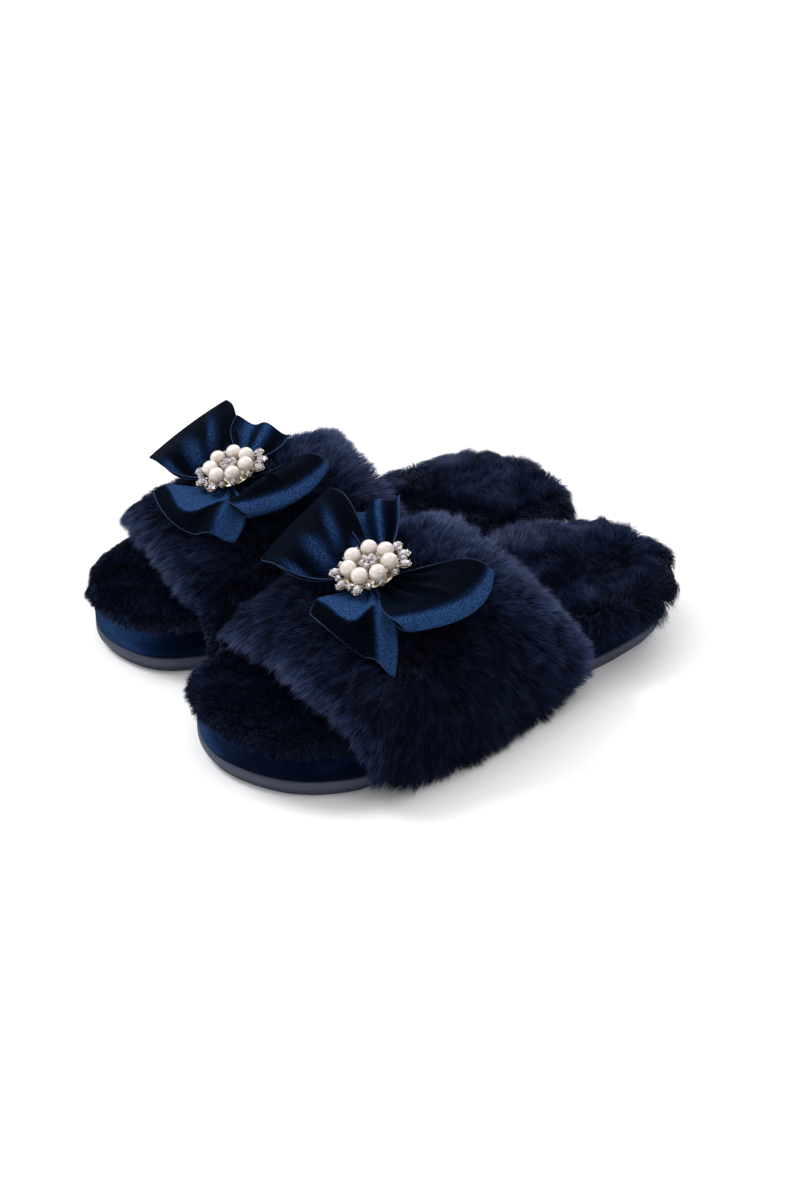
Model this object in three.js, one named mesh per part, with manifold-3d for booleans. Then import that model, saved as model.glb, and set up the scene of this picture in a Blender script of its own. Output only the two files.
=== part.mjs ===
// A pair of open-toe spa slippers: a rubber outsole, a velvet-covered platform, a furry footbed,
// a wide fur band over the instep, and a velvet ribbon bow with a pearl and crystal brooch.
// Millimetres, +Z up, toes towards -Y, the wearer's left towards +X, origin on the floor
// midway between the two slippers.
import * as THREE from "three";
import Module from "manifold-3d";
import { mergeVertices } from "three/addons/utils/BufferGeometryUtils.js";

const wasm = await Module();
wasm.setup();

// The pair on the floor.
const PAIR_SPACING = 54;
const TOE_OUT = THREE.MathUtils.degToRad(5.4);
const CENTRE_Y = -3.58;

// The left sole seen from above, from the toe round the outer side to the heel and back.
const SOLE_OUTLINE = [
  [-4.4, -129],
  [33, -115],
  [51.5, -87],
  [51, -51],
  [43.2, 10],
  [41.8, 84],
  [32.2, 117],
  [0, 129],
  [-32.2, 117],
  [-41.8, 84],
  [-40.2, 10],
  [-51, -51],
  [-50, -87],
  [-38.3, -115],
];
const OUTLINE_STEPS = 42;

// Heights of the layers of the sole, from the floor up.
const LIP_TOP = 8.7;
const PLATFORM_TOP = 23.6;
const LAYER_GAP = 0.3;
const COVER_INSET = 0.2;
const COVER_WALL = 1.4;
const MIDSOLE_TOP = 17;
const BOARD_THICKNESS = 1.5;
const FOOTBED_BASE = PLATFORM_TOP + 0.4;
const FOOTBED_TOE_TOP = 29;
const FOOTBED_HEEL_TOP = 36;
const HEEL_FUR_OUTER_SPREAD = 8;
const HEEL_FUR_INNER_SPREAD = 3;

// Tread grooves across the underside.
const GROOVE_DEPTH = 1;
const GROOVE_WIDTH = 3;
const GROOVES = [
  { y: -100, length: 50 },
  { y: -84, length: 66 },
  { y: -68, length: 70 },
  { y: -52, length: 66 },
  { y: -36, length: 60 },
  { y: 62, length: 50 },
  { y: 78, length: 52 },
  { y: 94, length: 46 },
];

// The band over the instep, measured on the inner face of its lining.
const BAND = {
  outerFootY: [-78, 42],
  innerFootY: [-84, 34],
  crestY: [-88, 6],
  crestZ: [44, 72],
  crestSwell: 1.5,
  shoulderZ: 25,
  footZ: 9.6,
  footClearance: 0.7,
  squareness: 2.3,
};
const LINING_THICKNESS = 1.6;
const INTERLINING_THICKNESS = 1.2;
const FUR_GAP = 0.8;
const PILE_OUTER_SIDE = 10;
const PILE_CREST = 8;
const PILE_INNER_SIDE = 3.2;
const PILE_HANG_Z = 3.4;
const PILE_PAST_FRONT = 0.05;
const PILE_PAST_REAR = 0.07;
const BOW_DENT = 1;
const BOW_DENT_RADIUS = 26;

// The bow lies on the front slope of the band, a little towards the outer side. Each is sewn on
// by hand, so the left one sits a little further back than the right one.
const BOW_Y = { left: -39.2, right: -44.8 };
const BOW_OUTWARD = 4.3;
const BOW_LIFT = 1.5;
const PAD_RADIUS = 9;
const PAD_THICKNESS = 1;
const KNOT = { length: 11, width: 11, base: 1.3, top: 6.8 };
const LOBE_ROOT = 9.3;
const LOBE_ROOT_THICKNESS = 2.4;
const LOBE_ROOT_BASE = 1.4;

// The brooch.
const PLATE_RADIUS = 13;
const PLATE_THICKNESS = 1;
const PLATE_BASE = KNOT.top + LAYER_GAP;
const PEARL_RADIUS = 4;
const PEARL_COUNT = 7;
const PEARL_RING = 9.8;
const CENTRE_STONE_RADIUS = 4.6;
const OUTER_STONE = { length: 6, width: 4.4, height: 2.8, ring: 16.4 };
const OUTER_STONE_ANGLES = [41, 66, 92, 232, 268, 301];

const LEFT = 1;
const RIGHT = -1;

// Materials.
const material = (color, roughness, metalness = 0) =>
  new THREE.MeshStandardMaterial({ color, roughness, metalness });
const rubber = () => material(0x1b2032, 0.75);
const velvet = () => material(0x0e2350, 0.7);
const bowVelvet = () => material(0x0c1d45, 0.65);
const fur = () => material(0x0b1228, 0.95);
const plush = () => material(0x0a1024, 0.95);
const foam = () => material(0xd8d4c8, 0.9);
const fibreboard = () => material(0x9a8468, 0.85);
const felt = () => material(0x10162c, 0.95);
const pearl = () => material(0xf0eadb, 0.25);
const crystal = () => material(0xe9e2ea, 0.05);
const paleGold = () => material(0xd9c9a0, 0.3, 1);

const mix = THREE.MathUtils.lerp;
const smooth = THREE.MathUtils.smoothstep;

// A closed solid from a flat list of corners and index triples.
function meshGeometry(points, triangles) {
  const geometry = new THREE.BufferGeometry();
  const positions = points.flatMap((p) => [p.x, p.y, p.z]);
  geometry.setAttribute("position", new THREE.Float32BufferAttribute(positions, 3));
  geometry.setIndex(triangles.flat());
  geometry.computeVertexNormals();
  return geometry;
}

// A solid through a stack of rings, each a list of the same number of points going
// anticlockwise seen from the end of the stack. Its two ends are closed by a fan.
function loft(rings) {
  const count = rings[0].length;
  const points = rings.flat();
  const triangles = [];
  for (let row = 0; row + 1 < rings.length; row++) {
    for (let i = 0; i < count; i++) {
      const a = row * count + i;
      const b = row * count + ((i + 1) % count);
      triangles.push([a, b, b + count], [a, b + count, a + count]);
    }
  }
  const last = (rings.length - 1) * count;
  const start = points.push(middle(rings[0])) - 1;
  const end = points.push(middle(rings[rings.length - 1])) - 1;
  for (let i = 0; i < count; i++) {
    const next = (i + 1) % count;
    triangles.push([start, next, i], [end, last + i, last + next]);
  }
  return meshGeometry(points, triangles);
}

function middle(ring) {
  const sum = ring.reduce((total, p) => total.add(p), new THREE.Vector3());
  return sum.divideScalar(ring.length);
}

// A sheet with thickness between two grids of points: rows run from front to rear,
// columns from the outer side over the top to the inner side.
function thickSheet(outside, inside) {
  const rows = outside.length;
  const columns = outside[0].length;
  const points = [...outside.flat(), ...inside.flat()];
  const top = (r, c) => r * columns + c;
  const bottom = (r, c) => rows * columns + top(r, c);
  const triangles = [];
  const quad = (a, b, c, d) => triangles.push([a, b, c], [a, c, d]);
  for (let r = 0; r + 1 < rows; r++) {
    for (let c = 0; c + 1 < columns; c++) {
      quad(top(r, c), top(r + 1, c), top(r + 1, c + 1), top(r, c + 1));
      quad(bottom(r, c), bottom(r, c + 1), bottom(r + 1, c + 1), bottom(r + 1, c));
    }
    quad(top(r, 0), bottom(r, 0), bottom(r + 1, 0), top(r + 1, 0));
    const c = columns - 1;
    quad(top(r, c), top(r + 1, c), bottom(r + 1, c), bottom(r, c));
  }
  for (let c = 0; c + 1 < columns; c++) {
    quad(top(0, c), top(0, c + 1), bottom(0, c + 1), bottom(0, c));
    const r = rows - 1;
    quad(top(r, c), bottom(r, c), bottom(r, c + 1), top(r, c + 1));
  }
  return meshGeometry(points, triangles);
}

// Booleans.
function toSolid(geometry) {
  const bare = geometry.clone();
  bare.deleteAttribute("normal");
  bare.deleteAttribute("uv");
  const merged = mergeVertices(bare, 1e-4);
  const vertProperties = new Float32Array(merged.attributes.position.array);
  const triVerts = new Uint32Array(merged.index.array);
  return new wasm.Manifold(new wasm.Mesh({ numProp: 3, vertProperties, triVerts }));
}

function toGeometry(solid) {
  const { numProp, vertProperties, triVerts } = solid.getMesh();
  const geometry = new THREE.BufferGeometry();
  const positions = new Float32Array((vertProperties.length / numProp) * 3);
  for (let i = 0; i < positions.length / 3; i++) {
    positions.set(vertProperties.subarray(i * numProp, i * numProp + 3), i * 3);
  }
  geometry.setAttribute("position", new THREE.BufferAttribute(positions, 3));
  geometry.setIndex(new THREE.BufferAttribute(triVerts, 1));
  geometry.computeVertexNormals();
  return geometry;
}

// The right slipper is the left one mirrored across its own length.
function forSide(geometry, side) {
  if (side === LEFT) return geometry;
  const mirrored = geometry.clone().scale(-1, 1, 1);
  const index = mirrored.index.array;
  for (let i = 0; i < index.length; i += 3) {
    [index[i + 1], index[i + 2]] = [index[i + 2], index[i + 1]];
  }
  return mirrored;
}

// The sole outline as evenly spaced points with outward directions.
const outlineCurve = new THREE.CatmullRomCurve3(
  SOLE_OUTLINE.map(([x, y]) => new THREE.Vector3(x, y, 0)),
  true,
);
const outline = Array.from({ length: OUTLINE_STEPS }, (_, i) => {
  const at = i / OUTLINE_STEPS;
  const along = outlineCurve.getTangentAt(at);
  return {
    point: outlineCurve.getPointAt(at),
    outward: new THREE.Vector3(along.y, -along.x, 0),
  };
});

// A ring round the sole: offset outwards and height may each depend on the place on the outline.
function soleRing(offset, height) {
  return outline.map(({ point, outward }) => {
    const moved = point.clone().addScaledVector(outward, offset(point));
    return moved.setZ(height(point));
  });
}

const level = (value) => () => value;
const soleSlab = (offset, from, to) =>
  loft([soleRing(level(offset), level(from)), soleRing(level(offset), level(to))]);

// Half the sole's width at one place along the foot, on the outer or inner side.
function soleEdge(y, side) {
  const edge = outline
    .map(({ point }) => point)
    .filter((point) => point.x * side > 0)
    .sort((p, q) => p.y - q.y);
  const next = edge.findIndex((point) => point.y > y);
  const a = edge[next - 1];
  const b = edge[next];
  return Math.abs(mix(a.x, b.x, (y - a.y) / (b.y - a.y)));
}

function outsole() {
  const body = loft([
    soleRing(level(-3.2), level(0)),
    soleRing(level(-2.4), level(3.6)),
    soleRing(level(-0.4), level(4.3)),
    soleRing(level(0), level(8)),
    soleRing(level(-0.6), level(LIP_TOP)),
  ]);
  return GROOVES.reduce((geometry, { y, length }) => {
    const groove = new THREE.BoxGeometry(length, GROOVE_WIDTH, 2 * GROOVE_DEPTH);
    return toGeometry(toSolid(geometry).subtract(toSolid(groove.translate(0, y, 0))));
  }, body);
}

function platformCover() {
  const base = LIP_TOP + LAYER_GAP;
  const wall = toSolid(soleSlab(-COVER_INSET, base, PLATFORM_TOP));
  const inside = toSolid(soleSlab(-COVER_INSET - COVER_WALL, base - 1, PLATFORM_TOP + 1));
  return toGeometry(wall.subtract(inside));
}

const INSIDE_COVER = -COVER_INSET - COVER_WALL - LAYER_GAP;
const BOARD_BASE = MIDSOLE_TOP + LAYER_GAP;
const FOAM_BASE = BOARD_BASE + BOARD_THICKNESS + LAYER_GAP;
const midsole = () => soleSlab(INSIDE_COVER, LIP_TOP + LAYER_GAP, MIDSOLE_TOP);
const insoleBoard = () => soleSlab(INSIDE_COVER, BOARD_BASE, BOARD_BASE + BOARD_THICKNESS);
const footbedFoam = () => soleSlab(INSIDE_COVER, FOAM_BASE, PLATFORM_TOP);

// The furry footbed is thin under the toes and deep at the heel, where it spreads past the sole.
function footbedFur() {
  const heelSpread = ({ x }) =>
    mix(HEEL_FUR_INNER_SPREAD, HEEL_FUR_OUTER_SPREAD, smooth(x, -42, -28));
  const foreSpread = ({ y }) => mix(-3.6, 0.6, smooth(-y, 92, 112));
  const spread = (p) => mix(foreSpread(p), heelSpread(p), smooth(p.y, 48, 84));
  const top = ({ y }) => mix(FOOTBED_TOE_TOP, FOOTBED_HEEL_TOP, smooth(y, -60, 84));
  return loft([
    soleRing(level(-6), level(FOOTBED_BASE)),
    soleRing((p) => spread(p) - 1.2, level(FOOTBED_BASE)),
    soleRing(spread, (p) => mix(FOOTBED_BASE, top(p), 0.45)),
    soleRing((p) => spread(p) - 2.5, (p) => top(p) - 1),
    soleRing((p) => spread(p) - 9, top),
  ]);
}

// One point of the band's inner face: u runs from the front edge to the rear edge,
// v from the outer side (0) over the top to the inner side (1).
function bandPoint(u, v) {
  const angle = Math.PI * v;
  const across = Math.sign(Math.cos(angle)) * Math.abs(Math.cos(angle)) ** (2 / BAND.squareness);
  const rise = Math.sin(angle) ** (2 / BAND.squareness);
  const footY = v < 0.5 ? mix(...BAND.outerFootY, u) : mix(...BAND.innerFootY, u);
  const halfWidth = soleEdge(footY, v < 0.5 ? 1 : -1) + BAND.footClearance;
  const crestZ = mix(...BAND.crestZ, u) + 4 * BAND.crestSwell * u * (1 - u);
  return new THREE.Vector3(
    halfWidth * across,
    mix(footY, mix(...BAND.crestY, u), rise),
    mix(BAND.shoulderZ, crestZ, rise),
  );
}

function bandNormal(u, v) {
  const step = 0.01;
  const inside = THREE.MathUtils.clamp(v, 2 * step, 1 - 2 * step);
  const along = bandPoint(u + step, inside).sub(bandPoint(u - step, inside));
  const around = bandPoint(u, inside + step).sub(bandPoint(u, inside - step));
  const normal = along.cross(around).normalize();
  const atFoot = 1 - smooth(Math.min(v, 1 - v), 0, 0.06);
  return normal.lerp(new THREE.Vector3(v < 0.5 ? 1 : -1, 0, 0), atFoot).normalize();
}

const bandOffset = (u, v, distance) =>
  bandPoint(u, v).addScaledVector(bandNormal(u, v), distance);

// A grid of points at a distance above the band's inner face.
function bandGrid(rows, columns, distance, past = [0, 0]) {
  return Array.from({ length: rows + 1 }, (_, r) => {
    const u = mix(-past[0], 1 + past[1], r / rows);
    return Array.from({ length: columns + 1 }, (_, c) => {
      const v = c / columns;
      return bandOffset(u, v, distance(u, v));
    });
  });
}

// The band's sides drop straight down past the platform to a given height.
function withSides(grid, bottom) {
  const down = (p) => p.clone().setZ(bottom);
  return grid.map((row) => [down(row[0]), ...row, down(row[row.length - 1])]);
}

function bandLayer(from, thickness) {
  const inside = bandGrid(7, 14, () => from);
  const outside = bandGrid(7, 14, () => from + thickness);
  return thickSheet(withSides(outside, BAND.footZ), withSides(inside, BAND.footZ));
}

const INTERLINING_BASE = LINING_THICKNESS + LAYER_GAP;
const FUR_BASE = INTERLINING_BASE + INTERLINING_THICKNESS + FUR_GAP;
const bandLining = () => bandLayer(0, LINING_THICKNESS);
const bandInterlining = () => bandLayer(INTERLINING_BASE, INTERLINING_THICKNESS);

// How deep the fur of the band is at one place, with the bow pressed into it at bowY.
function pileDepth(u, v, bowY) {
  const side = v < 0.5 ? PILE_OUTER_SIDE : PILE_INNER_SIDE;
  const depth = mix(side, PILE_CREST, smooth(Math.min(v, 1 - v), 0.06, 0.4));
  const edge = Math.abs(2 * THREE.MathUtils.clamp(u, 0, 1) - 1);
  const rounded = Math.sqrt(1 - 0.75 * edge ** 4);
  const place = bandPoint(u, v);
  const away = Math.hypot(place.x - BOW_OUTWARD, place.y - bowY) / BOW_DENT_RADIUS;
  return depth * rounded - BOW_DENT * Math.exp(-away * away);
}

// The fur hangs a little below the band's feet, past the edge of the rubber sole.
function bandFur(bowY) {
  const past = [PILE_PAST_FRONT, PILE_PAST_REAR];
  const inside = bandGrid(9, 20, () => FUR_BASE, past);
  const outside = bandGrid(9, 20, (u, v) => FUR_BASE + pileDepth(u, v, bowY), past);
  return thickSheet(withSides(outside, PILE_HANG_Z), withSides(inside, PILE_HANG_Z));
}

// One lobe of ribbon, lofted outwards along +X through flattened rounded sections.
// Each section gives how far out it is, its width, thickness, height, sideways shift and roll.
function ribbonLobe(sections) {
  const corners = 14;
  return loft(
    sections.map(({ out, width, thick, up, shift = 0, roll = 0 }) =>
      Array.from({ length: corners }, (_, i) => {
        const angle = (2 * Math.PI * i) / corners;
        const c = Math.cos(angle);
        const s = Math.sin(angle);
        const y = (width / 2) * Math.sign(c) * Math.abs(c) ** 0.8;
        const z = (thick / 2) * Math.sign(s) * Math.abs(s) ** 0.8;
        const turn = THREE.MathUtils.degToRad(roll);
        return new THREE.Vector3(
          out,
          shift + y * Math.cos(turn) - z * Math.sin(turn),
          up + y * Math.sin(turn) + z * Math.cos(turn),
        );
      }),
    ),
  );
}

const lobeRoot = (width) => ({
  out: LOBE_ROOT,
  width,
  thick: LOBE_ROOT_THICKNESS,
  up: LOBE_ROOT_BASE + LOBE_ROOT_THICKNESS / 2,
});

const rightLoop = () =>
  ribbonLobe([
    lobeRoot(9),
    { out: 19, width: 18, thick: 2.8, up: 2.8 },
    { out: 34, width: 38, thick: 8, up: 6.2 },
    { out: 48, width: 49, thick: 8.5, up: 8, roll: 2 },
    { out: 57, width: 51, thick: 3.5, up: 8, roll: 2 },
  ]);

const leftLoop = () =>
  ribbonLobe([
    lobeRoot(9),
    { out: 19, width: 18, thick: 2.8, up: 2.8 },
    { out: 32, width: 39, thick: 7, up: 6, shift: 1 },
    { out: 46, width: 46, thick: 8, up: 7, shift: 2 },
    { out: 57, width: 40, thick: 4, up: 7, shift: 4 },
  ]);

const frontTail = () =>
  ribbonLobe([
    lobeRoot(7),
    { out: 18, width: 19, thick: 2.4, up: 2.4 },
    { out: 28, width: 32, thick: 5, up: 5, roll: -8 },
    { out: 37, width: 42, thick: 3.6, up: 4.2, roll: -15 },
    { out: 45, width: 46, thick: 2.4, up: 3, roll: -18 },
  ]);

const rearTail = () =>
  ribbonLobe([
    lobeRoot(7),
    { out: 18, width: 13, thick: 2.4, up: 2.8 },
    { out: 32, width: 17, thick: 6, up: 7 },
    { out: 47, width: 25, thick: 3, up: 11 },
  ]);

// The four lobes of the bow, each turned to its own direction on the band.
const LOBES = [
  { name: "bow_right_loop", shape: rightLoop, heading: 180 },
  { name: "bow_left_loop", shape: leftLoop, heading: 12 },
  { name: "bow_front_tail", shape: frontTail, heading: -56 },
  { name: "bow_rear_tail", shape: rearTail, heading: 131 },
];

const disc = (radius, thickness, base) =>
  new THREE.CylinderGeometry(radius, radius, thickness, 20)
    .rotateX(Math.PI / 2)
    .translate(0, 0, base + thickness / 2);

// The knot is a rounded wrap of ribbon across the middle of the bow.
function bowKnot() {
  const rounding = 1.6;
  const path = new THREE.Shape();
  const x = KNOT.length / 2;
  const z = (KNOT.top - KNOT.base) / 2;
  path.moveTo(-x + rounding, -z);
  path.lineTo(x - rounding, -z);
  path.quadraticCurveTo(x, -z, x, -z + rounding);
  path.lineTo(x, z - rounding);
  path.quadraticCurveTo(x, z, x - rounding, z);
  path.lineTo(-x + rounding, z);
  path.quadraticCurveTo(-x, z, -x, z - rounding);
  path.lineTo(-x, -z + rounding);
  path.quadraticCurveTo(-x, -z, -x + rounding, -z);
  return new THREE.ExtrudeGeometry(path, {
    depth: KNOT.width,
    bevelEnabled: false,
    curveSegments: 4,
  })
    .rotateX(Math.PI / 2)
    .translate(0, KNOT.width / 2, KNOT.base + z);
}

// A round plate with an arm under each outer stone.
function broochPlate() {
  const arm = new THREE.BoxGeometry(OUTER_STONE.ring + 1, 2, PLATE_THICKNESS).translate(
    (OUTER_STONE.ring + 1) / 2,
    0,
    PLATE_BASE + PLATE_THICKNESS / 2,
  );
  return toGeometry(
    OUTER_STONE_ANGLES.reduce(
      (plate, angle) =>
        plate.add(toSolid(arm.clone().rotateZ(THREE.MathUtils.degToRad(angle)))),
      toSolid(disc(PLATE_RADIUS, PLATE_THICKNESS, PLATE_BASE)),
    ),
  );
}

const PLATE_TOP = PLATE_BASE + PLATE_THICKNESS;
const pearlBead = () => new THREE.SphereGeometry(PEARL_RADIUS, 12, 8).rotateX(Math.PI / 2);

// The cluster in the middle is one faceted dome of small stones.
const centreStone = () =>
  loft([
    stoneRing(3, 3, 0),
    stoneRing(CENTRE_STONE_RADIUS, CENTRE_STONE_RADIUS, 3),
    stoneRing(CENTRE_STONE_RADIUS, CENTRE_STONE_RADIUS, 4.2),
    stoneRing(2.6, 2.6, 6.4),
  ]);

function stoneRing(halfLength, halfWidth, z) {
  const corners = 8;
  return Array.from({ length: corners }, (_, i) => {
    const angle = (2 * Math.PI * (i + 0.5)) / corners;
    return new THREE.Vector3(halfLength * Math.cos(angle), halfWidth * Math.sin(angle), z);
  });
}

// A pointed oval stone: a steep pavilion below its widest line and a flat table on top.
const outerStone = () => {
  const a = OUTER_STONE.length / 2;
  const b = OUTER_STONE.width / 2;
  return loft([
    stoneRing(0.4 * a, 0.4 * b, 0),
    stoneRing(a, b, 0.6 * OUTER_STONE.height),
    stoneRing(0.6 * a, 0.6 * b, OUTER_STONE.height),
  ]);
};

function named(name, geometry, look) {
  const mesh = new THREE.Mesh(geometry, look);
  mesh.name = name;
  return mesh;
}

// The bow and brooch, built flat about the middle of the bow with +Z away from the band.
function bow(prefix) {
  const group = new THREE.Group();
  group.add(named(prefix + "bow_pad", disc(PAD_RADIUS, PAD_THICKNESS, 0), felt()));
  group.add(named(prefix + "bow_knot", bowKnot(), bowVelvet()));
  for (const { name, shape, heading } of LOBES) {
    const lobe = named(prefix + name, shape(), bowVelvet());
    lobe.rotation.z = THREE.MathUtils.degToRad(heading);
    group.add(lobe);
  }
  group.add(brooch(prefix));
  return group;
}

function brooch(prefix) {
  const group = new THREE.Group();
  group.add(named(prefix + "brooch_plate", broochPlate(), paleGold()));
  const centre = named(prefix + "centre_crystal", centreStone(), crystal());
  centre.position.z = PLATE_TOP + LAYER_GAP;
  group.add(centre);
  for (let i = 0; i < PEARL_COUNT; i++) {
    const angle = (2 * Math.PI * i) / PEARL_COUNT + Math.PI / 2;
    const bead = named(prefix + "pearl_" + (i + 1), pearlBead(), pearl());
    bead.position.set(
      PEARL_RING * Math.cos(angle),
      PEARL_RING * Math.sin(angle),
      PLATE_TOP + LAYER_GAP + PEARL_RADIUS,
    );
    group.add(bead);
  }
  OUTER_STONE_ANGLES.forEach((degrees, i) => {
    const angle = THREE.MathUtils.degToRad(degrees);
    const stone = named(prefix + "outer_crystal_" + (i + 1), outerStone(), crystal());
    stone.position.set(
      OUTER_STONE.ring * Math.cos(angle),
      OUTER_STONE.ring * Math.sin(angle),
      PLATE_TOP + LAYER_GAP,
    );
    stone.rotation.z = angle;
    group.add(stone);
  });
  return group;
}

// Where the bow sits: just above the fur by the crest, tilted to its slope.
function bowSeat(bowY) {
  const u = (bowY - BAND.crestY[0]) / (BAND.crestY[1] - BAND.crestY[0]);
  const normal = bandNormal(u, 0.5);
  return {
    point: bandOffset(u, 0.5, FUR_BASE + pileDepth(u, 0.5, bowY) + BOW_LIFT),
    tilt: Math.atan2(-normal.y, normal.z),
  };
}

function slipper(prefix, side, bowY) {
  const group = new THREE.Group();
  const add = (name, geometry, look) =>
    group.add(named(prefix + name, forSide(geometry, side), look));
  add("outsole", outsole(), rubber());
  add("midsole", midsole(), foam());
  add("platform_cover", platformCover(), velvet());
  add("insole_board", insoleBoard(), fibreboard());
  add("footbed_foam", footbedFoam(), foam());
  add("footbed_fur", footbedFur(), plush());
  add("band_lining", bandLining(), plush());
  add("band_interlining", bandInterlining(), foam());
  add("band_fur", bandFur(bowY), fur());
  const seat = bowSeat(bowY);
  const ribbon = bow(prefix);
  ribbon.position.set(side * BOW_OUTWARD, seat.point.y, seat.point.z);
  ribbon.rotation.x = seat.tilt;
  group.add(ribbon);
  group.position.set(side * PAIR_SPACING, CENTRE_Y, 0);
  group.rotation.z = side * TOE_OUT;
  return group;
}

const pair = new THREE.Group();
pair.add(slipper("left_", LEFT, BOW_Y.left), slipper("right_", RIGHT, BOW_Y.right));

export default pair;
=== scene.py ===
import math

import bpy
import numpy as np
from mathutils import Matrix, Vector
from mathutils.kdtree import KDTree


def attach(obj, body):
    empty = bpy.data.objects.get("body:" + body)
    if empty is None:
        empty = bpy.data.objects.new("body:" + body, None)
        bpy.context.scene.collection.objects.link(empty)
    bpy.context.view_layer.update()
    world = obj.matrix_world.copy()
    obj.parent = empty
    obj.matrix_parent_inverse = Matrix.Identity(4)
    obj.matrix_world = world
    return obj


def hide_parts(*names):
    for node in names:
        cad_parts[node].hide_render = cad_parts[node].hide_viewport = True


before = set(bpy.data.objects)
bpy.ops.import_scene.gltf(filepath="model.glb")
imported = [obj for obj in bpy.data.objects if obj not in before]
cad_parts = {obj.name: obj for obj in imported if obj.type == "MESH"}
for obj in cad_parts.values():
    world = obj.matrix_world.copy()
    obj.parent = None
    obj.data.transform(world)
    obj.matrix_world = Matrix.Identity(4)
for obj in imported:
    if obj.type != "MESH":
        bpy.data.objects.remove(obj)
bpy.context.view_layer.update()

# Lengths are in millimetres in one slipper's own frame (+X its outer side, +Y its heel, +Z up),
# and become metres in the row frame of the pair.
MM = 0.001
LEFT, RIGHT = 1, -1
PREFIX = {LEFT: "left_", RIGHT: "right_"}

# Each slipper stands this far from the middle of the pair, and its toe points this far outwards.
PAIR_SPACING = 54.0
TOE_OUT = math.radians(5.4)
CENTRE_Y = -3.58

SOLE_OUTLINE = [
    (-4.4, -129), (33, -115), (51.5, -87), (51, -51), (43.2, 10), (41.8, 84), (32.2, 117),
    (0, 129), (-32.2, 117), (-41.8, 84), (-40.2, 10), (-51, -51), (-50, -87), (-38.3, -115),
]
LIP_TOP = 8.7
PLATFORM_TOP = 23.6

# The band's front and rear ends at its two feet and on its crest.
BAND_OUTER_FOOT = (-78, 42)
BAND_INNER_FOOT = (-84, 34)
BAND_CREST_Y = (-88, 6)
BAND_CREST_Z = (44, 72)
BAND_SWELL = 1.5
BAND_SHOULDER = 25.0
BAND_SQUARENESS = 2.3
BAND_CLEARANCE = 0.7
# Below its feet the band runs straight down. The skirt's share of the way round, and its drop.
SKIRT = 0.14
SKIRT_DROP = 20.0

# Where the fur starts over the band's face, its dense part's depth on the crest and on the two
# sides, and how far past the band's front (u = 0) and rear (u = 1) it reaches.
FUR_BASE = 3.9
CROWN_PILE = 8.0
OUTER_PILE = 10.0
INNER_PILE = 3.2
FUR_FRONT, FUR_REAR = -0.04, 1.05

BOW_Y = {LEFT: -39.2, RIGHT: -44.8}
BOW_OUTWARD = 4.3
BOW_DENT = 1.0
BOW_LIFT = 1.5
BOW_HOLLOW = 26.0
LOBE_START = 7.8
PLATE_TOP = 8.1
PEARLS = 7
PEARL_RADIUS = 4.0
PEARL_RING = 9.8
CUP_PRONGS = 4

# Strands in each piece of fur and their width. A share of them are longer, paler guard hairs.
STRANDS = 62000
STRAND_WIDTH = 0.30
GUARD_HAIRS = 0.06
GUARD_HAIR_REACH = 0.35
GUARD_HAIR_PALER = 0.5


# ---- small helpers

def mix(a, b, t):
    return a + (b - a) * t


def smooth(x, low, high):
    t = np.clip((x - low) / (high - low), 0, 1)
    return t * t * (3 - 2 * t)


def hump(x, centre, width):
    return np.exp(-(((x - centre) / width) ** 2))


def unit(vectors):
    return vectors / np.maximum(np.linalg.norm(vectors, axis=-1, keepdims=True), 1e-9)


def xyz(x, y, z):
    """Points from their three coordinates, each an array or one number."""
    return np.stack(np.broadcast_arrays(x, y, z), axis=-1)


def wave_noise(points, scale, seed):
    """Smooth noise from -1 to 1 at points in mm, made of a few sine waves in random directions."""
    rng = np.random.default_rng(seed)
    total = np.zeros(points.shape[:-1])
    for _ in range(7):
        direction = unit(rng.normal(size=3)) * 2 * math.pi / scale * rng.uniform(0.6, 1.6)
        total += np.sin(points @ direction + rng.uniform(0, 2 * math.pi))
    return total / 4.2


def turned(points, angle):
    c, s = math.cos(angle), math.sin(angle)
    x, y, z = points[..., 0], points[..., 1], points[..., 2]
    return xyz(x * c - y * s, x * s + y * c, z)


def to_row(points, side, mirrored=True):
    """From a slipper's own frame in mm to the row frame in metres."""
    points = np.array(points, dtype=float)
    if side == RIGHT and mirrored:
        points[..., 0] *= -1
    placed = turned(points, side * TOE_OUT)
    return (placed + [side * PAIR_SPACING, CENTRE_Y, 0]) * MM


# ---- meshes

def in_scene(name, data):
    data.name = name
    made = bpy.data.objects.new(name, data)
    bpy.context.scene.collection.objects.link(made)
    return made


def new_piece(side, name, mesh, material, replaced=(), body="slipper"):
    """A piece of one slipper. It rides on a body and stands for the nodes that it replaces."""
    piece = in_scene(PREFIX[side] + name, mesh)
    mesh.materials.append(material)
    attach(piece, PREFIX[side] + body)
    if replaced:
        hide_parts(*[PREFIX[side] + node for node in replaced])
    return piece


def plain_mesh(vertices, faces, flat=False, flip=False):
    mesh = bpy.data.meshes.new("mesh")
    if flip:
        faces = [tuple(reversed(f)) for f in faces]
    mesh.from_pydata([tuple(v) for v in vertices], [], [tuple(map(int, f)) for f in faces])
    mesh.polygons.foreach_set("use_smooth", [not flat] * len(mesh.polygons))
    mesh.update()
    return mesh


def mirrored_piece(side, name, shape, material, node):
    """A piece whose vertices and faces are given for the left slipper, made for either one."""
    vertices, faces = shape
    mesh = plain_mesh(to_row(vertices, side), faces, flip=side == RIGHT)
    return new_piece(side, name, mesh, material, [node])


def set_values(mesh, label, values):
    """A number at each vertex. Velvet's painted sheen: 0 looks black, 1 bright blue. A strand has
    its place along it, from root to tip, and its own shade, which holds painted light besides its
    own tone."""
    data = mesh.attributes.new(label, "FLOAT", "POINT")
    data.data.foreach_set("value", np.asarray(values, dtype=np.float32).reshape(-1))


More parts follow.
